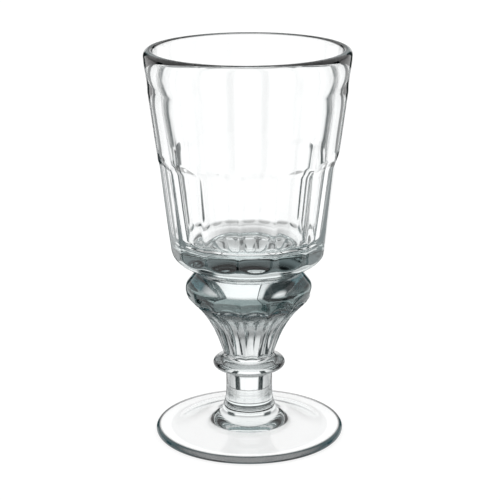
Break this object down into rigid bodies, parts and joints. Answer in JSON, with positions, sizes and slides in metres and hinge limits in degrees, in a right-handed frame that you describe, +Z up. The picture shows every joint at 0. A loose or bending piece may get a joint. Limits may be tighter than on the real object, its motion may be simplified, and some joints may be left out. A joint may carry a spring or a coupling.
{
  "type": "absinthe glass",
  "caption": "Footed absinthe glass with a tapered bowl cut in flat panels under a thick plain lip, a solid base, a fluted collar, a cordon ring and a broad foot.",
  "frame": {"origin": "centre of the ring that the foot rests on", "axes": "+Z up along the glass's axis; -Y points out through the middle of one flat panel"},
  "size_m": [0.084, 0.084, 0.1631],
  "materials": {
    "glass": "clear, fire-polished pressed glass with a faint blue-green tint"
  },
  "bodies": {
    "root": {"absinthe_glass": "glass"}
  },
  "joints": []
}
